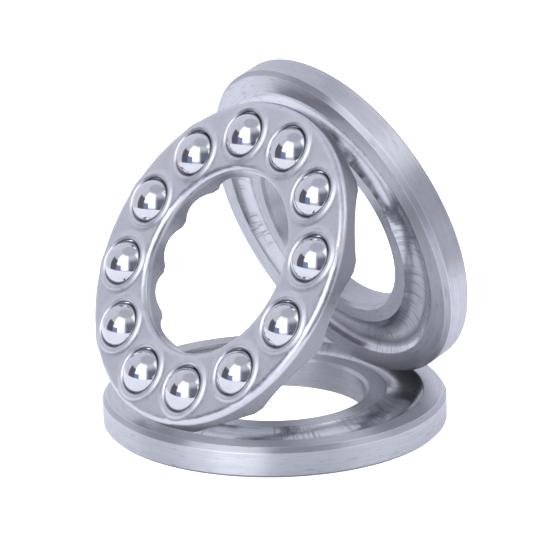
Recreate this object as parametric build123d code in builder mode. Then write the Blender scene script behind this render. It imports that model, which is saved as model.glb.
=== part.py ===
"""Thrust ball bearing laid apart for display: two grooved washers and a caged ring of balls.

Origin: centre of the flat washer's underside.  +Z is up.  Units are millimetres.
The shaft washer lies flat.  The caged balls lean over it on one side and the housing washer
stands in its groove on the other, leaning back toward the cage.
"""
import os
from math import cos, radians, sin, sqrt

from build123d import *

# ---- bearing sizes -------------------------------------------------------------------------
outer_radius = 23.5            # both washers, 47 mm outside diameter
shaft_bore_radius = 12.5       # 25 mm shaft seat
housing_bore_radius = 13.0     # shaft clearance bore of the housing washer
washer_height = 4.15
pitch_radius = 17.8            # circle through the ball centres and the groove bottoms
ball_count = 12
ball_radius = 3.3735           # 17/64 inch ball, 6.747 mm

# ---- washer section ------------------------------------------------------------------------
back_chamfer = 0.35            # outer edge of the flat back
bore_face_chamfer = 0.42       # bore edge on the grooved face
bevel_width = 0.55             # outer edge of the grooved face, across
bevel_height = 0.75            # outer edge of the grooved face, along the axis
groove_half_width = 2.55
groove_radius = 3.61           # raceway section, a little wider than the ball

# ---- cage section, measured back from the collars' rims -------------------------------------
cage_outer_radius = 22.65
cage_inner_radius = 12.78
sheet = 0.8                    # sheet thickness
web_depth = 0.25               # front web lies this far behind the collar rims
rim_fillet = 0.85              # rolled edge between the web and each flange
inside_fillet = 0.25           # the same bend on its inner side
outer_flange_depth = 3.85      # scallop crests of the outer flange
outer_valley_depth = 2.75      # scallop valleys of the outer flange
outer_valley_chord = 10.2
inner_flange_depth = 3.55
inner_valley_depth = 2.5
inner_valley_chord = 5.6
collar_base_radius = 4.35
collar_top_radius = 3.75
collar_root_depth = 0.6
mouth_radius = 3.56            # pocket mouth at the collar rim
lip_radius = 3.15              # retaining lip inside the mouth, smaller than the ball
lip_depth = 0.22
pocket_clearance = 0.08        # running clearance between a ball and its pocket
pocket_radius = ball_radius + pocket_clearance
ball_depth = lip_depth + sqrt(pocket_radius**2 - lip_radius**2)

# ---- display pose --------------------------------------------------------------------------
cage_centre = (-7.93, -9.56, 25.68)
cage_facing = 218.48           # compass angle from +X that the cage's front looks toward
cage_upturn = 31.54            # angle of the front's normal above the horizontal
first_ball_angle = 14.68
housing_centre = (10.49, 7.90, 26.99)
housing_facing = 218.10        # compass angle that the leaning washer's grooved face looks toward
housing_downturn = 18.86       # angle of that face's normal below the horizontal


def direction(compass, rise):
    """Unit vector from a compass angle about +Z and an angle above the horizontal."""
    flat = cos(radians(rise))
    return (flat * cos(radians(compass)), flat * sin(radians(compass)), sin(radians(rise)))


def facing_plane(centre, compass, rise):
    """Plane whose normal points along a direction and whose x axis stays level."""
    level = (-sin(radians(compass)), cos(radians(compass)), 0)
    return Plane(origin=centre, x_dir=level, z_dir=direction(compass, rise))


def section_plane(ring_plane):
    """Plane through a ring's axis: its x is the ring's radius, its y the ring's axis."""
    return Plane(origin=ring_plane.origin, x_dir=ring_plane.x_dir, z_dir=-ring_plane.y_dir)


def washer_outline(bore_radius):
    """Draw half of a grooved washer's section: x is the radius, y runs from back to groove."""
    groove_outer = (pitch_radius + groove_half_width, washer_height)
    groove_inner = (pitch_radius - groove_half_width, washer_height)
    sagitta = groove_radius - sqrt(groove_radius**2 - groove_half_width**2)
    groove_bottom = (pitch_radius, washer_height - sagitta)
    Polyline(
        groove_inner,
        (bore_radius + bore_face_chamfer, washer_height),
        (bore_radius, washer_height - bore_face_chamfer),
        (bore_radius, 0),
        (outer_radius - back_chamfer, 0),
        (outer_radius, back_chamfer),
        (outer_radius, washer_height - bevel_height),
        (outer_radius - bevel_width, washer_height),
        groove_outer,
    )
    ThreePointArc(groove_outer, groove_bottom, groove_inner)


def valley_cutter(depth, crest_depth, chord):
    """Radius and centre depth of the cylinder that cuts one valley into a flange edge."""
    rise = crest_depth - depth
    radius = ((chord / 2) ** 2 + rise**2) / (2 * rise)
    return radius, depth + radius


def circles_at_depth(ring, depth):
    """Circular edges of the cage that lie a given depth behind the collar rims."""
    circles = ring.edges().filter_by(GeomType.CIRCLE)
    return circles.filter_by(lambda edge: abs(cage_plane.to_local_coords(edge.arc_center).Z + depth) < 0.01)


flat_plane = Plane.XY
cage_plane = facing_plane(cage_centre, cage_facing, cage_upturn)
housing_plane = facing_plane(housing_centre, housing_facing, -housing_downturn)
half_pitch = 180 / ball_count

os.makedirs("parts", exist_ok=True)

# ---- shaft washer: lies flat, groove up ------------------------------------------------------
with BuildPart() as shaft_washer:
    with BuildSketch(section_plane(flat_plane)):
        with BuildLine():
            washer_outline(shaft_bore_radius)
        make_face()
    revolve(axis=Axis(flat_plane.origin, flat_plane.z_dir))
shaft_washer.part.label = "shaft_washer"
export_step(shaft_washer.part, "parts/shaft_washer.step")

# ---- housing washer: stands in the groove, leaning back toward the cage ----------------------
with BuildPart() as housing_washer:
    with BuildSketch(section_plane(housing_plane)):
        with BuildLine():
            washer_outline(housing_bore_radius)
        make_face()
    revolve(axis=Axis(housing_plane.origin, housing_plane.z_dir))
housing_washer.part.label = "housing_washer"
export_step(housing_washer.part, "parts/housing_washer.step")

# ---- cage: pressed ring with collared pockets and scalloped flanges --------------------------
outer_wall = cage_outer_radius - sheet
inner_wall = cage_inner_radius + sheet
web_back = web_depth + sheet
outer_cut_radius, outer_cut_depth = valley_cutter(
    outer_valley_depth, outer_flange_depth, outer_valley_chord
)
inner_cut_radius, inner_cut_depth = valley_cutter(
    inner_valley_depth, inner_flange_depth, inner_valley_chord
)
mouth_slope = (mouth_radius - lip_radius) / lip_depth
flare_reach = 0.3              # the mouth cutter runs on past the rim
flare_height = lip_depth + flare_reach

with BuildPart(cage_plane) as cage:
    with BuildSketch(section_plane(cage_plane)):
        with BuildLine():
            Polyline(
                (cage_outer_radius, -outer_flange_depth),
                (cage_outer_radius, -web_depth),
                (cage_inner_radius, -web_depth),
                (cage_inner_radius, -inner_flange_depth),
                (inner_wall, -inner_flange_depth),
                (inner_wall, -web_back),
                (outer_wall, -web_back),
                (outer_wall, -outer_flange_depth),
                close=True,
            )
        make_face()
    revolve(axis=Axis(cage_plane.origin, cage_plane.z_dir))
    fillet(circles_at_depth(cage, web_depth), rim_fillet)
    fillet(circles_at_depth(cage, web_back), inside_fillet)

    # raised collars round the pockets
    with PolarLocations(pitch_radius, ball_count, start_angle=first_ball_angle):
        with Locations((0, 0, -collar_root_depth)):
            Cylinder(
                collar_base_radius,
                collar_root_depth - web_depth,
                align=(Align.CENTER, Align.CENTER, Align.MIN),
            )
        with Locations((0, 0, -web_depth)):
            Cone(
                collar_base_radius,
                collar_top_radius,
                web_depth,
                align=(Align.CENTER, Align.CENTER, Align.MIN),
            )

    # round pockets that hold the balls behind a lip, with a flared mouth
    with PolarLocations(pitch_radius, ball_count, start_angle=first_ball_angle):
        with Locations((0, 0, -ball_depth)):
            Sphere(pocket_radius, mode=Mode.SUBTRACT)
        with Locations((0, 0, -lip_depth)):
            Cone(
                lip_radius,
                lip_radius + mouth_slope * flare_height,
                flare_height,
                align=(Align.CENTER, Align.CENTER, Align.MIN),
                mode=Mode.SUBTRACT,
            )

    # valleys between the balls in both flange edges
    with PolarLocations(cage_outer_radius, ball_count, start_angle=first_ball_angle + half_pitch):
        with Locations((0, 0, -outer_cut_depth)):
            Cylinder(outer_cut_radius, 3 * sheet, rotation=(0, 90, 0), mode=Mode.SUBTRACT)
    with PolarLocations(cage_inner_radius, ball_count, start_angle=first_ball_angle + half_pitch):
        with Locations((0, 0, -inner_cut_depth)):
            Cylinder(inner_cut_radius, 3 * sheet, rotation=(0, 90, 0), mode=Mode.SUBTRACT)
cage.part.label = "cage"
export_step(cage.part, "parts/cage.step")

# ---- balls: one node each, centred in the pockets --------------------------------------------
for index in range(ball_count):
    angle = radians(first_ball_angle + index * 360 / ball_count)
    centre = cage_plane.from_local_coords(
        (pitch_radius * cos(angle), pitch_radius * sin(angle), -ball_depth)
    )
    with BuildPart(Plane(origin=centre, x_dir=cage_plane.x_dir, z_dir=cage_plane.z_dir)) as ball:
        Sphere(ball_radius)
    ball.part.label = f"ball_{index + 1:02d}"
    export_step(ball.part, f"parts/ball_{index + 1:02d}.step")
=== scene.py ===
"""Looks of a thrust ball bearing laid apart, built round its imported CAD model.

Everything is in metres in the CAD frame: origin under the middle of the flat washer, +Z up.
"""

import math

import bmesh
import bpy
from mathutils import Matrix, Vector


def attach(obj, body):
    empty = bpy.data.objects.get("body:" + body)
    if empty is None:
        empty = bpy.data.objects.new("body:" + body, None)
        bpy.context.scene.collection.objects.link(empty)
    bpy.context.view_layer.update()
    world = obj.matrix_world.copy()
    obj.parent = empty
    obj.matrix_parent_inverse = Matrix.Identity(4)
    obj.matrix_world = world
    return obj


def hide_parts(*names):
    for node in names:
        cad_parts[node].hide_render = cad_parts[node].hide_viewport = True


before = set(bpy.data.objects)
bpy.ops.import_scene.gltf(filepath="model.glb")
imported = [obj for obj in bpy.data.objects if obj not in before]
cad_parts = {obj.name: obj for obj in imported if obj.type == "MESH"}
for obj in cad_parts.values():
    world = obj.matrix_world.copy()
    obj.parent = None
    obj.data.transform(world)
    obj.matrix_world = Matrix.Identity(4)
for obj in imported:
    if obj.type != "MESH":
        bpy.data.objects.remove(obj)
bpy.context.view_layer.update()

MM = 0.001

# ---- bearing sizes, in millimetres, as in the CAD ----------------------------------------------
OUTER_R = 23.5
SHAFT_BORE_R = 12.5
HOUSING_BORE_R = 13.0
WASHER_H = 4.15
PITCH_R = 17.8
BALLS = 12
BALL_R = 3.3735
GROOVE_HALF = 2.55
GROOVE_R = 3.61
BACK_CHAMFER = 0.35
BORE_CHAMFER = 0.42
BEVEL_W = 0.55  # outer edge of the grooved face, across
BEVEL_H = 0.75  # and along the axis

CAGE_OUT_R = 22.65
CAGE_IN_R = 12.78
SHEET = 0.8
WEB = 0.25  # the front web lies this far behind the collars' rims
RIM = 0.85  # rolled edge between the web and each flange
BEND = 0.25  # the same bend on its inner side
LIP_R = 3.15
LIP_DEPTH = 0.22
POCKET_R = BALL_R + 0.08
BALL_DEPTH = LIP_DEPTH + math.sqrt(POCKET_R**2 - LIP_R**2)
OUT_SCALLOP = (2.75, 3.85, 10.2)  # a flange's free edge: valley depth, crest depth, valley chord
IN_SCALLOP = (2.5, 3.55, 5.6)

# ---- where each ring stands: centre, facing (compass), rise of its face above level ------------
CAGE_PLACE = ((-7.93, -9.56, 25.68), 218.48, 31.54)
HOUSING_PLACE = ((10.49, 7.90, 26.99), 218.10, -18.86)
SHAFT_PLACE = ((0.0, 0.0, 0.0), None, 90.0)
FIRST_BALL = math.radians(14.68)
PITCH_ANGLE = 2 * math.pi / BALLS


def placement(place):
    """Matrix from a ring's own frame (mm, axis along z) to the CAD frame (m)."""
    centre, compass, rise = place
    if compass is None:
        basis = Matrix.Identity(3)
    else:
        c, e = math.radians(compass), math.radians(rise)
        axis = Vector((math.cos(e) * math.cos(c), math.cos(e) * math.sin(c), math.sin(e)))
        level = Vector((-math.sin(c), math.cos(c), 0.0))
        basis = Matrix((level, axis.cross(level), axis)).transposed()
    return Matrix.Translation(Vector(centre) * MM) @ basis.to_4x4() @ Matrix.Scale(MM, 4)


# ---- mesh helpers -----------------------------------------------------------------------------
def new_piece(name, verts, faces, place, normals=None):
    """Mesh object from ring-frame points, smooth shaded, with its place in its vertices."""
    matrix = placement(place)
    mesh = bpy.data.meshes.new(name)
    mesh.from_pydata([matrix @ Vector(v) for v in verts], [], faces)
    mesh.validate()
    mesh.polygons.foreach_set("use_smooth", [True] * len(mesh.polygons))
    if normals:
        turn = matrix.to_3x3().normalized()
        mesh.normals_split_custom_set_from_vertices([turn @ Vector(n) for n in normals])
    piece = bpy.data.objects.new(name, mesh)
    bpy.context.scene.collection.objects.link(piece)
    return piece


def rounded_outline(corners, steps=5):
    """Closed section with each corner rounded: (r, z, radius) corners to (r, z, nr, nz) points."""
    points = []
    count = len(corners)
    for i, (x, y, radius) in enumerate(corners):
        here = Vector((x, y))
        before = Vector(corners[i - 1][:2])
        after = Vector(corners[(i + 1) % count][:2])
        a, b = (before - here).normalized(), (after - here).normalized()
        normal_in, normal_out = Vector((-a.y, a.x)), Vector((b.y, -b.x))
        half = a.angle(b) / 2
        reach = radius / math.tan(half)
        centre = here + (a + b).normalized() * (radius / math.sin(half))
        for k in range(steps + 1):
            n = normal_in.slerp(normal_out, k / steps)
            points.append((*(centre + n * radius), n.x, n.y))
        assert reach < min((before - here).length, (after - here).length)
    return points


def washer_section(bore_r):
    """Grooved washer's section, counter-clockwise, with every edge broken as ground steel is."""
    # radius, height and rounding of each corner
    corners = [
        (bore_r, 0.0, 0.08),
        (OUTER_R - BACK_CHAMFER, 0.0, 0.1),
        (OUTER_R, BACK_CHAMFER, 0.1),
        (OUTER_R, WASHER_H - BEVEL_H, 0.12),
        (OUTER_R - BEVEL_W, WASHER_H, 0.12),
        (bore_r + BORE_CHAMFER, WASHER_H, 0.1),
        (bore_r, WASHER_H - BORE_CHAMFER, 0.1),
    ]
    # the top land is rounded as one straight run, and then the groove is let into it
    outline = rounded_outline(corners)
    top = [i for i, p in enumerate(outline) if p[1] > WASHER_H - 1e-6 and p[0] > PITCH_R]
    cut = max(top) + 1
    return outline[:cut] + groove_arc() + outline[cut:]


def groove_arc(edge=0.07, steps=40):
    """Raceway arc from its outer to its inner edge, with a small rounding where it meets the land."""
    half = math.asin(GROOVE_HALF / GROOVE_R)
    centre_z = WASHER_H + GROOVE_R * math.cos(half)
    arc = []
    for k in range(steps + 1):
        a = half - 2 * half * k / steps
        across, down = math.sin(a), math.cos(a)
        arc.append((PITCH_R + GROOVE_R * across, centre_z - GROOVE_R * down, -across, down))
    first, last = arc[0], arc[-1]
    lead = [
        (first[0] + 3 * edge, WASHER_H, 0.0, 1.0),
        (first[0] + edge, WASHER_H, 0.0, 1.0),
        (first[0] + 0.3 * edge, WASHER_H - 0.15 * edge, -0.35, 0.94),
    ]
    tail = [
        (last[0] - 0.3 * edge, WASHER_H - 0.15 * edge, 0.35, 0.94),
        (last[0] - edge, WASHER_H, 0.0, 1.0),
        (last[0] - 3 * edge, WASHER_H, 0.0, 1.0),
    ]
    return lead + arc[1:-1] + tail


def lathe(name, section, place, segments=384):
    """Solid of revolution with exact normals and a UV map: u round the ring, v along the section."""
    rows = len(section)
    lengths = [0.0]
    for i in range(rows):
        a, b = section[i], section[(i + 1) % rows]
        lengths.append(lengths[-1] + math.dist(a[:2], b[:2]))
    verts, normals, faces = [], [], []
    for s in range(segments):
        t = 2 * math.pi * s / segments
        c, d = math.cos(t), math.sin(t)
        for r, z, nr, nz in section:
            verts.append((r * c, r * d, z))
            normals.append((nr * c, nr * d, nz))
    for s in range(segments):
        a, b = s * rows, (s + 1) % segments * rows
        for i in range(rows):
            j = (i + 1) % rows
            faces.append((a + i, b + i, b + j, a + j))
    piece = new_piece(name, verts, faces, place, normals)
    uv = piece.data.uv_layers.new(name="turned")
    for face in piece.data.polygons:
        s, i = divmod(face.index, rows)
        u0, u1 = s / segments, (s + 1) / segments
        v0, v1 = lengths[i] / lengths[-1], lengths[i + 1] / lengths[-1]
        for loop, co in zip(face.loop_indices, ((u0, v0), (u1, v0), (u1, v1), (u0, v1))):
            uv.data[loop].uv = co
    return piece


def ball_piece(name, centre):
    """Polished ball with exact sphere normals."""
    bm = bmesh.new()
    bmesh.ops.create_icosphere(bm, subdivisions=5, radius=BALL_R)
    for v in bm.verts:
        v.co = v.co.normalized() * BALL_R
    verts = [centre + v.co for v in bm.verts]
    normals = [v.co.normalized() for v in bm.verts]
    faces = [[v.index for v in f.verts] for f in bm.faces]
    bm.free()
    return new_piece(name, verts, faces, CAGE_PLACE, normals)


# ---- pressed cage ------------------------------------------------------------------------------
# front of a collar and its pocket's mouth: distance from the ball's centre line, height
COLLAR = (
    (4.50, -0.265),
    (4.38, -0.250),
    (4.26, -0.225),
    (4.14, -0.175),
    (4.03, -0.115),
    (3.93, -0.060),
    (3.84, -0.020),
    (3.75, 0.0),
    (3.66, -0.003),
    (3.58, -0.022),
)
MOUTH = (
    (3.52, -0.055),
    (3.44, -0.095),
    (3.34, -0.145),
    (3.24, -0.190),
    (3.175, -0.215),
    (3.152, -0.232),
    (3.150, -0.255),
)

ARC_STEPS = 32  # columns in one ball's share of the ring
SIDE_STEPS = 28
ROLL = math.radians(60)  # the front mesh ends this far round the rolled rim
FACE_BLEND = 0.07
CREST_BLEND = 0.12
EDGE_ROUND = 0.14  # rounding of a flange's free edge


def collar_height(d):
    """Front height of the raised collar, d from the ball's centre line."""
    if d >= COLLAR[0][0]:
        return COLLAR[0][1] - 0.9 * (d - COLLAR[0][0])
    for (d0, z0), (d1, z1) in zip(COLLAR, COLLAR[1:]):
        if d >= d1:
            return z1 + (z0 - z1) * (d - d1) / (d0 - d1)
    return COLLAR[-1][1]


def rim_height(r):
    """Front height of the web where it rolls over into either flange."""
    outer = max(0.0, r - (CAGE_OUT_R - RIM))
    inner = max(0.0, CAGE_IN_R + RIM - r)
    over = min(max(outer, inner), RIM)
    return -WEB - (RIM - math.sqrt(RIM**2 - over**2))


def soft_step(a, b, soft):
    """How far a rounded maximum or minimum of a and b stands off the plain one."""
    gap = max(soft - abs(a - b), 0.0) / soft
    return gap * gap * soft / 4


def front_height(x, y):
    """Front of the sheet: collar and rolled rim blended into one pressed surface."""
    a = collar_height(math.hypot(x - PITCH_R, y))
    b = rim_height(math.hypot(x, y))
    return max(a, b) + soft_step(a, b, FACE_BLEND)


def sector_edge(outer_r, inner_r):
    """Closed path round one ball's share of the ring: outer arc, side, inner arc, side."""
    half = PITCH_ANGLE / 2
    path = []
    for k in range(ARC_STEPS):
        t = half - 2 * half * k / ARC_STEPS
        path.append((outer_r * math.cos(t), outer_r * math.sin(t)))
    for k in range(SIDE_STEPS):
        r = outer_r + (inner_r - outer_r) * k / SIDE_STEPS
        path.append((r * math.cos(half), -r * math.sin(half)))
    for k in range(ARC_STEPS):
        t = -half + 2 * half * k / ARC_STEPS
        path.append((inner_r * math.cos(t), inner_r * math.sin(t)))
    for k in range(SIDE_STEPS):
        r = inner_r + (outer_r - inner_r) * k / SIDE_STEPS
        path.append((r * math.cos(half), r * math.sin(half)))
    return path


def between(a, b, s):
    """Points part of the way from one ring's to another's."""
    return [(p[0] + (q[0] - p[0]) * s, p[1] + (q[1] - p[1]) * s) for p, q in zip(a, b)]


def roll_radius(front_r, sign):
    """Where the front mesh ends and a flange begins; sign is 1 for the outer flange, -1 for the inner."""
    return front_r - sign * RIM + sign * RIM * math.sin(ROLL)


def sector_rings():
    """Rings of one sector, from the front's edge over the collar, down the pocket and out again."""
    front = sector_edge(roll_radius(CAGE_OUT_R, 1), roll_radius(CAGE_IN_R, -1))
    back = sector_edge(CAGE_OUT_R - SHEET - BEND, CAGE_IN_R + SHEET + BEND)
    turn = [math.atan2(y, x - PITCH_R) for x, y in front]

    def circle(d):
        return [(PITCH_R + d * math.cos(t), d * math.sin(t)) for t in turn]

    start = circle(COLLAR[0][0])
    face = [between(front, start, k / 6) for k in range(6)] + [circle(d) for d, _ in COLLAR]
    rings = [[(x, y, front_height(x, y)) for x, y in ring] for ring in face]
    for d, z in MOUTH:
        rings.append([(x, y, z) for x, y in circle(d)])
    web_back = -WEB - SHEET
    for k in range(1, 7):
        z = MOUTH[-1][1] + (web_back - MOUTH[-1][1]) * k / 6
        d = math.sqrt(POCKET_R**2 - (z + BALL_DEPTH) ** 2)
        rings.append([(x, y, z) for x, y in circle(d)])
    wall = rings[-1]
    for k in range(1, 5):
        rings.append([(x, y, web_back) for x, y in between(wall, back, k / 4)])
    return rings


def scallop(t, radius, valley, crest, chord):
    """Depth of a flange's free edge: crests beside the balls, round valleys between them."""
    away = abs(abs(t) - PITCH_ANGLE / 2) * radius
    rise = crest - valley
    cut = ((chord / 2) ** 2 + rise**2) / (2 * rise)
    depth = valley + cut - math.sqrt(max(cut**2 - away**2, 0.0))
    return min(depth, crest) - soft_step(depth, crest, CREST_BLEND)


def flange_rows(front_r, sign, edge_depth, front_z):
    """Section of a flange, from the front's edge at front_z over the free edge to the back bend."""
    middle = front_r - sign * RIM
    wall = front_r - sign * SHEET
    rows = []
    lift = front_z + WEB + RIM - RIM * math.cos(ROLL)
    for k in range(4):
        a = ROLL + (math.pi / 2 - ROLL) * k / 3
        z = -WEB - RIM + RIM * math.cos(a) + lift * (1 - k / 3)
        rows.append((middle + sign * RIM * math.sin(a), z))
    top = -WEB - RIM
    edge = EDGE_ROUND - edge_depth
    for k in range(1, 8):
        rows.append((front_r, top + (edge - top) * k / 7))
    for corner_r, first in ((front_r - sign * EDGE_ROUND, 0), (wall + sign * EDGE_ROUND, 1)):
        for k in range(1 - first, 5 - first):
            a = math.pi / 2 * (k / 4 + first)
            rows.append((corner_r + sign * EDGE_ROUND * math.cos(a), edge - EDGE_ROUND * math.sin(a)))
    bend_z = -WEB - SHEET - BEND
    for k in range(7):
        rows.append((wall, edge + (bend_z - edge) * k / 6))
    for k in range(1, 5):
        a = math.pi / 2 * k / 4
        rows.append((wall - sign * (BEND - BEND * math.cos(a)), bend_z + BEND * math.sin(a)))
    return rows


def add_sectors(verts, faces):
    """The web, collars and pockets: one sector to each ball."""
    rings = sector_rings()
    count = len(rings[0])
    for s in range(BALLS):
        turn = FIRST_BALL + s * PITCH_ANGLE
        c, d = math.cos(turn), math.sin(turn)
        base = len(verts)
        for ring in rings:
            verts += [(x * c - y * d, x * d + y * c, z) for x, y, z in ring]
        for i in range(len(rings) - 1):
            for j in range(count):
                k = (j + 1) % count
                a, b = base + i * count, base + (i + 1) * count
                faces.append((a + j, a + k, b + k, b + j))


def add_flange(verts, faces, front_r, sign, shape):
    """One flange, its section swept round the ring."""
    columns = ARC_STEPS * BALLS
    edge_r = roll_radius(front_r, sign)
    base = len(verts)
    for m in range(columns):
        t = -PITCH_ANGLE / 2 + PITCH_ANGLE * m / ARC_STEPS
        side = PITCH_ANGLE * (m % ARC_STEPS) / ARC_STEPS - PITCH_ANGLE / 2
        front_z = front_height(edge_r * math.cos(side), edge_r * math.sin(side))
        rows = flange_rows(front_r, sign, scallop(side, front_r, *shape), front_z)
        c, d = math.cos(t + FIRST_BALL), math.sin(t + FIRST_BALL)
        verts += [(r * c, r * d, z) for r, z in rows]
    high = len(rows)
    for m in range(columns):
        a, b = base + m * high, base + (m + 1) % columns * high
        for i in range(high - 1):
            quad = (a + i, a + i + 1, b + i + 1, b + i)
            faces.append(quad if sign > 0 else quad[::-1])


def merged(verts, faces):
    """The same mesh with its seams joined and its faces turned outward."""
    bm = bmesh.new()
    points = [bm.verts.new(v) for v in verts]
    for f in faces:
        bm.faces.new([points[i] for i in f])
    bmesh.ops.remove_doubles(bm, verts=bm.verts, dist=0.002)
    bmesh.ops.recalc_face_normals(bm, faces=bm.faces)
    bm.verts.index_update()
    verts = [v.co.copy() for v in bm.verts]
    faces = [[v.index for v in f.verts] for f in bm.faces]
    bm.free()
    return verts, faces


def cage_piece():
    """The whole pressed cage, each point holding its distance from the nearest ball's centre line."""
    verts, faces = [], []
    add_sectors(verts, faces)
    add_flange(verts, faces, CAGE_OUT_R, 1, OUT_SCALLOP)
    add_flange(verts, faces, CAGE_IN_R, -1, IN_SCALLOP)
    verts, faces = merged(verts, faces)
    piece = new_piece("pressed_cage", verts, faces, CAGE_PLACE)
    near = piece.data.attributes.new("pocket_distance", "FLOAT", "POINT")
    for v, item in zip(verts, near.data):
        t = math.atan2(v.y, v.x) - FIRST_BALL
        t = (t + PITCH_ANGLE / 2) % PITCH_ANGLE - PITCH_ANGLE / 2
        r = math.hypot(v.x, v.y)
        item.value = math.hypot(r * math.cos(t) - PITCH_R, r * math.sin(t))
    return piece


# ---- shader helpers ----------------------------------------------------------------------------
def add(tree, kind, inputs=None, **settings):
    """New node with its settings, and each input set to a value or linked to a socket."""
    item = tree.nodes.new(kind)
    for key, value in settings.items():
        setattr(item, key, value)
    for key, value in (inputs or {}).items():
        if isinstance(value, bpy.types.NodeSocket):
            tree.links.new(value, item.inputs[key])
        else:
            item.inputs[key].default_value = value
    return item


def calc(tree, operation, a, b=0.0, c=0.0):
    """Math node's result."""
    return add(tree, "ShaderNodeMath", {0: a, 1: b, 2: c}, operation=operation).outputs[0]


def ramp(tree, value, low, high, out_low=0.0, out_high=1.0, smooth=True):
    """Value carried from one range to another and held at the ends."""
    kind = "SMOOTHSTEP" if smooth else "LINEAR"
    inputs = {"Value": value, "From Min": low, "From Max": high, "To Min": out_low, "To Max": out_high}
    return add(tree, "ShaderNodeMapRange", inputs, interpolation_type=kind).outputs[0]


def blend(tree, amount, a, b):
    """Colour a where amount is 0 and b where it is 1."""
    item = add(tree, "ShaderNodeMix", {0: amount}, data_type="RGBA")
    for socket, value in zip((item.inputs[6], item.inputs[7]), (a, b)):
        if isinstance(value, bpy.types.NodeSocket):
            tree.links.new(value, socket)
        else:
            socket.default_value = (*value, 1.0)
    return item.outputs[2]


def times(tree, a, b):
    """Product of two values."""
    return calc(tree, "MULTIPLY", a, b)


def tint(tree, amount, most, shade, colour):
    """Shade carried toward a colour by amount, and at most by the share given."""
    return blend(tree, times(tree, amount, most), shade, colour)


def line_at(tree, value, middle):
    """1 within 0.03 mm of the middle value, fading to 0 at 0.08 mm."""
    away = calc(tree, "ABSOLUTE", calc(tree, "SUBTRACT", value, middle))
    return ramp(tree, away, 0.03, 0.08, 1.0, 0.0)


def ring_space(tree, place):
    """Millimetre coordinates about a ring's own axis, and the unit direction round it."""
    matrix = placement(place)
    where = add(tree, "ShaderNodeTexCoord").outputs["Object"]
    mapped = add(tree, "ShaderNodeMapping", {"Vector": where}, vector_type="TEXTURE")
    mapped.inputs["Location"].default_value = matrix.translation
    mapped.inputs["Rotation"].default_value = matrix.to_3x3().normalized().to_euler()
    mapped.inputs["Scale"].default_value = (MM, MM, MM)
    split = add(tree, "ShaderNodeSeparateXYZ", {0: mapped.outputs[0]})
    x, y, z = split.outputs
    r = calc(tree, "SQRT", calc(tree, "ADD", times(tree, x, x), times(tree, y, y)))
    r = calc(tree, "MAXIMUM", r, 0.01)
    return {
        "point": mapped.outputs[0],
        "r": r,
        "z": z,
        "cos": calc(tree, "DIVIDE", x, r),
        "sin": calc(tree, "DIVIDE", y, r),
    }


def turned_lines(tree, ring, around, across, detail=2.0, shift=0.0):
    """Noise drawn out round the ring, as grinding marks are: across is lines per millimetre."""
    x = times(tree, ring["cos"], around)
    y = times(tree, ring["sin"], around)
    z = calc(tree, "MULTIPLY_ADD", ring["z"], across, shift)
    w = times(tree, ring["r"], across)
    vector = add(tree, "ShaderNodeCombineXYZ", {0: x, 1: y, 2: z}).outputs[0]
    inputs = {"Vector": vector, "W": w, "Scale": 1.0, "Detail": detail, "Roughness": 0.6}
    return add(tree, "ShaderNodeTexNoise", inputs, noise_dimensions="4D").outputs[0]


def mottle(tree, ring, scale, detail=3.0):
    """Even cloudy noise, scale in lumps per millimetre."""
    inputs = {"Vector": ring["point"], "Scale": scale, "Detail": detail, "Roughness": 0.6}
    return add(tree, "ShaderNodeTexNoise", inputs).outputs[0]


def new_material(name):
    """Empty material and its node tree."""
    material = bpy.data.materials.new(name)
    material.use_nodes = True
    material.node_tree.nodes.clear()
    return material, material.node_tree


def finish_material(tree, colour, rough, height, depth, uniform):
    """Metal surface from its colour, roughness and height, with uniform numbers set directly."""
    bump = add(tree, "ShaderNodeBump", {"Height": height, "Strength": 1.0, "Distance": depth})
    surface = add(
        tree,
        "ShaderNodeBsdfPrincipled",
        {"Base Color": colour, "Roughness": rough, "Metallic": 1.0, "Normal": bump.outputs[0], **uniform},
    )
    add(tree, "ShaderNodeOutputMaterial", {0: surface.outputs[0]})


WASHER_DARK = (0.50, 0.505, 0.53)
WASHER_LIGHT = (0.62, 0.625, 0.64)
WASHER_CLOUD = (0.53, 0.535, 0.56)
WASHER_MARK = (0.30, 0.305, 0.33)
BEVEL_PAINTED_SHADE = (0.34, 0.345, 0.37)
CHAMFER_PAINTED_SHADE = (0.18, 0.18, 0.20)
EDGE_PAINTED_HIGHLIGHT = (0.78, 0.785, 0.80)
CAGE_DARK = (0.56, 0.565, 0.585)
CAGE_LIGHT = (0.61, 0.615, 0.635)
FLANGE_PAINTED_SHADE = (0.20, 0.20, 0.22)
CREST_PAINTED_HIGHLIGHT = (0.68, 0.685, 0.70)
GAP_PAINTED_SHADE = (0.04, 0.04, 0.05)
BALL_LIGHT = (0.61, 0.612, 0.62)
BALL_HAZY = (0.57, 0.574, 0.59)
WASHER_RELIEF = 1.1e-6  # bump heights, in metres
CAGE_RELIEF = 1.5e-6
BALL_RELIEF = 1.5e-7
GRINDING = {"Anisotropic": 0.96, "Anisotropic Rotation": 0.25}


def wipe_streaks(tree, ring):
    """Polishing streaks that cross the raceway at a slant, in patches."""
    wipe = times(tree, ring["r"], 0.35)
    x = times(tree, ring["cos"], 55.0)
    y = calc(tree, "MULTIPLY_ADD", ring["sin"], 55.0, wipe)
    across = add(tree, "ShaderNodeCombineXYZ", {0: x, 1: y, 2: wipe}).outputs[0]
    inputs = {"Vector": across, "Scale": 1.0, "Detail": 3.0}
    streak = add(tree, "ShaderNodeTexNoise", inputs).outputs[0]
    patch = ramp(tree, mottle(tree, ring, 0.11, 2.0), 0.46, 0.60)
    return ramp(tree, streak, 0.48, 0.66), patch


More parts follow.
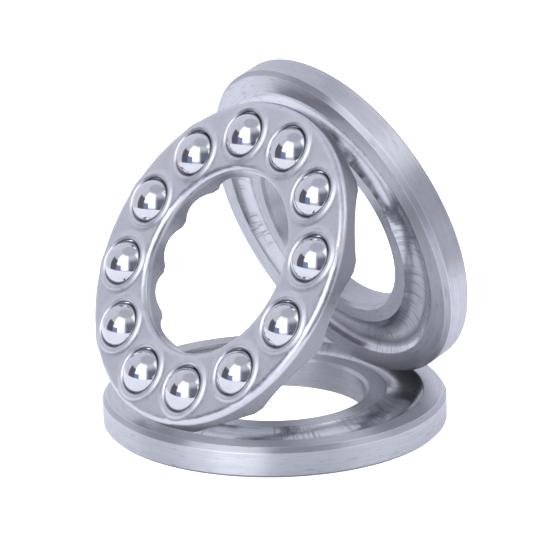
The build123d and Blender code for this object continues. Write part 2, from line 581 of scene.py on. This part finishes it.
def washer_material(name, place, shift):
    """Ground steel: fine lines round the rim and lands, a polished raceway."""
    material, tree = new_material(name)
    ring = ring_space(tree, place)
    off_pitch = calc(tree, "ABSOLUTE", calc(tree, "SUBTRACT", ring["r"], PITCH_R))
    raceway = ramp(tree, off_pitch, GROOVE_HALF - 0.05, GROOVE_HALF + 0.05, 1.0, 0.0)
    groove = times(tree, raceway, ramp(tree, ring["z"], 2.0, 2.2))
    fine = turned_lines(tree, ring, 5.0, 7.5, 3.0, shift)
    broad = turned_lines(tree, ring, 1.6, 1.4, 2.0, shift + 7.0)
    scratch = turned_lines(tree, ring, 13.0, 6.0, 1.0, shift + 19.0)
    cloud = mottle(tree, ring, 0.28)
    lines = calc(tree, "ADD", times(tree, fine, 0.6), times(tree, broad, 0.4))
    ground = ramp(tree, lines, 0.3, 0.7, 0.32, 0.42, smooth=False)
    polished = ramp(tree, broad, 0.3, 0.7, 0.13, 0.20, smooth=False)
    smoother = times(tree, groove, calc(tree, "SUBTRACT", polished, ground))
    rough = calc(tree, "ADD", ground, smoother)
    marks = times(tree, ramp(tree, scratch, 0.61, 0.70), ramp(tree, groove, 0.0, 1.0, 1.0, 0.2))
    rough = calc(tree, "MULTIPLY_ADD", marks, 0.08, rough)
    shade = blend(tree, ramp(tree, lines, 0.3, 0.7), WASHER_DARK, WASHER_LIGHT)
    shade = tint(tree, ramp(tree, cloud, 0.45, 0.7), 0.35, shade, WASHER_CLOUD)
    shade = tint(tree, marks, 0.45, shade, WASHER_MARK)
    # painted shade: the bevel on the grooved face's side and the chamfer on the back are painted darker,
    # standing in for the shade they reflect
    outer = ramp(tree, ring["r"], OUTER_R - 0.57, OUTER_R - 0.50)
    bevel_shade = times(tree, outer, ramp(tree, ring["z"], WASHER_H - 0.79, WASHER_H - 0.71))
    shade = tint(tree, bevel_shade, 0.5, shade, BEVEL_PAINTED_SHADE)
    back = times(tree, outer, ramp(tree, ring["z"], 0.30, 0.38, 1.0, 0.0))
    shade = tint(tree, back, 0.5, shade, CHAMFER_PAINTED_SHADE)
    streak, patch = wipe_streaks(tree, ring)
    streak = times(tree, streak, times(tree, patch, groove))
    shade = tint(tree, streak, 0.75, shade, WASHER_MARK)
    rough = calc(tree, "MULTIPLY_ADD", streak, 0.08, rough)
    # painted highlights: bright lines painted along both edges of the bevel, standing in for light
    # glinting off its rounded edges
    rim_highlight = line_at(tree, ring["z"], WASHER_H - BEVEL_H)
    rim_highlight = times(tree, rim_highlight, ramp(tree, ring["r"], OUTER_R - 0.2, OUTER_R - 0.1))
    shade = tint(tree, rim_highlight, 0.55, shade, EDGE_PAINTED_HIGHLIGHT)
    brow_highlight = line_at(tree, ring["r"], OUTER_R - BEVEL_W)
    brow_highlight = times(tree, brow_highlight, ramp(tree, ring["z"], WASHER_H - 0.10, WASHER_H - 0.05))
    shade = tint(tree, brow_highlight, 0.45, shade, EDGE_PAINTED_HIGHLIGHT)
    relief = times(tree, fine, ramp(tree, groove, 0.0, 1.0, 1.0, 0.25))
    relief = calc(tree, "ADD", relief, times(tree, broad, 0.8))
    tangent = add(tree, "ShaderNodeTangent", direction_type="UV_MAP", uv_map="turned").outputs[0]
    finish_material(tree, shade, rough, relief, WASHER_RELIEF, {**GRINDING, "Tangent": tangent})
    return material


def cage_material():
    """Pressed sheet steel: satin and faintly clouded, with a painted highlight on its raised collars'
    crests and painted shade on both flanges and in the gap round each ball.
    """
    material, tree = new_material("pressed_steel")
    ring = ring_space(tree, CAGE_PLACE)
    distance = add(tree, "ShaderNodeAttribute", attribute_name="pocket_distance").outputs["Fac"]
    cloud = mottle(tree, ring, 0.9, 4.0)
    grain = mottle(tree, ring, 9.0, 3.0)
    lines = turned_lines(tree, ring, 9.0, 4.0, 2.0, 3.0)
    rough = ramp(tree, cloud, 0.3, 0.7, 0.26, 0.38, smooth=False)
    speckle = ramp(tree, grain, 0.35, 0.7, -0.03, 0.05, smooth=False)
    rough = calc(tree, "ADD", rough, speckle)
    # the collar's crest, which gets a painted highlight, and the whole raised collar
    mouth = ramp(tree, distance, 3.5, 3.62)
    crest_highlight = times(tree, mouth, ramp(tree, distance, 3.8, 3.98, 1.0, 0.0))
    collar = times(tree, mouth, ramp(tree, distance, 4.2, 4.5, 1.0, 0.0))
    rough = calc(tree, "MULTIPLY_ADD", collar, 0.10, rough)
    shade = blend(tree, ramp(tree, cloud, 0.3, 0.7), CAGE_DARK, CAGE_LIGHT)
    # painted highlight: the collar's crest is painted brighter, as if catching light
    shade = tint(tree, crest_highlight, 0.2, shade, CREST_PAINTED_HIGHLIGHT)
    # painted shade: both flanges are painted darker than the front, and the lip beside each ball is
    # painted nearly black, as shade falls there
    inner_flange_shade = ramp(tree, ring["r"], 13.0, 13.4, 1.0, 0.0)
    inner_flange_shade = times(tree, inner_flange_shade, ramp(tree, ring["z"], -1.5, -0.9, 1.0, 0.0))
    shade = tint(tree, inner_flange_shade, 0.55, shade, FLANGE_PAINTED_SHADE)
    outer_flange_shade = ramp(tree, ring["r"], 22.5, 22.6)
    outer_flange_shade = times(tree, outer_flange_shade, ramp(tree, ring["z"], -1.3, -0.9, 1.0, 0.0))
    shade = tint(tree, outer_flange_shade, 0.75, shade, FLANGE_PAINTED_SHADE)
    # painted shade: the pocket's lip round each ball is painted nearly black, standing in for the shade
    # in the gap
    shade = tint(tree, ramp(tree, distance, 3.29, 3.38, 1.0, 0.0), 0.7, shade, GAP_PAINTED_SHADE)
    pitted = times(tree, grain, calc(tree, "MULTIPLY_ADD", collar, 1.6, 0.5))
    relief = calc(tree, "ADD", pitted, times(tree, lines, 0.35))
    relief = calc(tree, "ADD", relief, times(tree, cloud, 2.0))
    finish_material(tree, shade, rough, relief, CAGE_RELIEF, {})
    return material


def ball_material():
    """Bearing-ball steel: mirror polish with a trace of handling haze."""
    material, tree = new_material("ball_polish")
    ring = ring_space(tree, CAGE_PLACE)
    haze = mottle(tree, ring, 0.7, 3.0)
    specks = mottle(tree, ring, 6.0, 2.0)
    rough = ramp(tree, haze, 0.35, 0.7, 0.07, 0.11)
    shade = blend(tree, ramp(tree, haze, 0.3, 0.7), BALL_LIGHT, BALL_HAZY)
    finish_material(tree, shade, rough, specks, BALL_RELIEF, {})
    return material


# ---- pieces ------------------------------------------------------------------------------------
SETTLE = 0.06  # each ball rests low in its pocket's running clearance


def dress(piece, material, body, node):
    """One piece on its body, in place of its CAD node."""
    piece.data.materials.append(material)
    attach(piece, body)
    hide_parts(node)


flat_ring = lathe("shaft_washer_ring", washer_section(SHAFT_BORE_R), SHAFT_PLACE)
flat_steel = washer_material("ground_steel_a", SHAFT_PLACE, 0.0)
dress(flat_ring, flat_steel, "shaft_washer", "shaft_washer")
leaning_ring = lathe("housing_washer_ring", washer_section(HOUSING_BORE_R), HOUSING_PLACE)
leaning_steel = washer_material("ground_steel_b", HOUSING_PLACE, 31.0)
dress(leaning_ring, leaning_steel, "housing_washer", "housing_washer")
dress(cage_piece(), cage_material(), "cage", "cage")
polish = ball_material()
for i in range(BALLS):
    turn = FIRST_BALL + i * PITCH_ANGLE
    low = PITCH_R * math.sin(turn) - SETTLE
    middle = Vector((PITCH_R * math.cos(turn), low, -BALL_DEPTH))
    label = f"ball_{i + 1:02d}"
    dress(ball_piece(f"polished_{label}", middle), polish, label, label)


# ---- floor -------------------------------------------------------------------------------------
TABLE_R = 0.105
TABLE_Z = -0.00002  # just under the washer, so that no two faces share a plane
FLOOR_R = 6.0
FLOOR_Z = -0.00006


def floor_disc(name, radius, height):
    """Flat disc about the origin."""
    bm = bmesh.new()
    bmesh.ops.create_circle(bm, cap_ends=True, segments=96, radius=radius)
    bmesh.ops.translate(bm, verts=bm.verts, vec=(0, 0, height))
    mesh = bpy.data.meshes.new(name)
    bm.to_mesh(mesh)
    bm.free()
    disc = bpy.data.objects.new(name, mesh)
    bpy.context.scene.collection.objects.link(disc)
    return disc


def floor_material(name, albedo, glow):
    """Plain pale surface."""
    material, tree = new_material(name)
    surface = add(
        tree,
        "ShaderNodeBsdfPrincipled",
        {
            "Base Color": (*albedo, 1.0),
            "Roughness": 0.9,
            "Specular IOR Level": 0.0,
            "Emission Color": (1.0, 1.0, 1.0, 1.0),
            "Emission Strength": glow,
        },
    )
    add(tree, "ShaderNodeOutputMaterial", {0: surface.outputs[0]})
    return material


# the camera sees the wide floor, and the steel reflects the table, which ends short of the walls
table = floor_disc("table_top", TABLE_R, TABLE_Z)
table.location = (-0.03, -0.02, 0.0)
table.data.materials.append(floor_material("table_white", (0.84, 0.845, 0.89), 0.02))
table.visible_camera = False
table.visible_shadow = False
surround = floor_disc("floor_surround", FLOOR_R, FLOOR_Z)
surround.data.materials.append(floor_material("floor_white", (0.93, 0.93, 0.935), 0.45))
surround.visible_glossy = False


# ---- studio ------------------------------------------------------------------------------------
# name, azimuth range, elevation range, width of the soft edge, colour; angles in degrees, with
# azimuth 0 toward the camera and negative to its left
PANELS = (
    ("ceiling", (-200, 200), (64, 95), 12, (0.47, 0.49, 0.57)),
    ("left_wall", (-200, -98), (-20, 60), 8, (0.66, 0.67, 0.78)),
    ("back_wall", (120, 200), (-20, 60), 8, (0.66, 0.67, 0.78)),
    ("right_dark", (-4, 52), (-20, 40), 26, (0.163, 0.174, 0.232)),
    ("front_dark", (0, 16), (-20, 0), 4, (0.12, 0.12, 0.17)),
    ("right_lamp", (52, 97), (37, 60), 12, (1.35, 1.40, 1.50)),
    ("right_low", (58, 106), (-40, -9), 8, (0.32, 0.325, 0.37)),
    ("window", (-66, -8), (-4, 60), 14, (1.75, 1.80, 1.92)),
    ("blue_box", (-66, -40), (-20, 14), 4, (0.219, 0.286, 0.482)),
    ("brown_box", (-100, -64), (-20, 31), 5, (0.125, 0.115, 0.155)),
)
ROOM = (0.60, 0.615, 0.70)
STUDIO_STRENGTH = 1.35
LAMP_WATTS = 8.0
LAMP_WIDTH = 0.9
LAMP_PLACE = (-0.15, -0.25, 1.1)


def studio_world():
    """Soft room of plain panels, placed by direction."""
    world = bpy.data.worlds.new("studio")
    bpy.context.scene.world = world
    world.use_nodes = True
    tree = world.node_tree
    tree.nodes.clear()
    look = add(tree, "ShaderNodeTexCoord").outputs["Generated"]
    x, y, z = add(tree, "ShaderNodeSeparateXYZ", {0: look}).outputs
    azimuth = calc(tree, "ARCTAN2", x, times(tree, y, -1.0))
    azimuth = times(tree, azimuth, 180 / math.pi)
    rise = times(tree, calc(tree, "ARCSINE", z), 180 / math.pi)
    colour = ROOM
    for _, azimuths, rises, soft, panel in PANELS:
        mask = 1.0
        for value, (low, high) in ((azimuth, azimuths), (rise, rises)):
            starts = ramp(tree, value, low - soft / 2, low + soft / 2)
            ends = ramp(tree, value, high - soft / 2, high + soft / 2, 1.0, 0.0)
            mask = times(tree, mask, times(tree, starts, ends))
        colour = blend(tree, mask, colour, panel)
    light = add(tree, "ShaderNodeBackground", {0: colour, 1: STUDIO_STRENGTH})
    add(tree, "ShaderNodeOutputWorld", {0: light.outputs[0]})


studio_world()
lamp = bpy.data.lights.new("overhead", "AREA")
lamp.shape = "DISK"
lamp.size = LAMP_WIDTH
lamp.energy = LAMP_WATTS
overhead = bpy.data.objects.new("overhead", lamp)
overhead.location = LAMP_PLACE
overhead.rotation_euler = (-Vector(LAMP_PLACE)).to_track_quat("-Z", "Y").to_euler()
overhead.visible_glossy = False
bpy.context.scene.collection.objects.link(overhead)

# ---- camera ------------------------------------------------------------------------------------
EYE = Vector((0.0, -0.45444, 0.16651))
TOWARD = Vector((0.0006, 0.95197, -0.30619))
TILT = math.radians(-0.85)
shot = bpy.data.cameras.new("camera")
shot.sensor_width = 36.0
shot.lens = 231.16
shot.clip_start = 0.01
shot.clip_end = 50.0
camera = bpy.data.objects.new("camera", shot)
level = TOWARD.normalized().to_track_quat("-Z", "Y").to_matrix()
tilted = level @ Matrix.Rotation(TILT, 3, "Z")
camera.matrix_world = Matrix.Translation(EYE) @ tilted.to_4x4()
bpy.context.scene.collection.objects.link(camera)
bpy.context.scene.camera = camera
bpy.context.scene.view_settings.view_transform = "Standard"
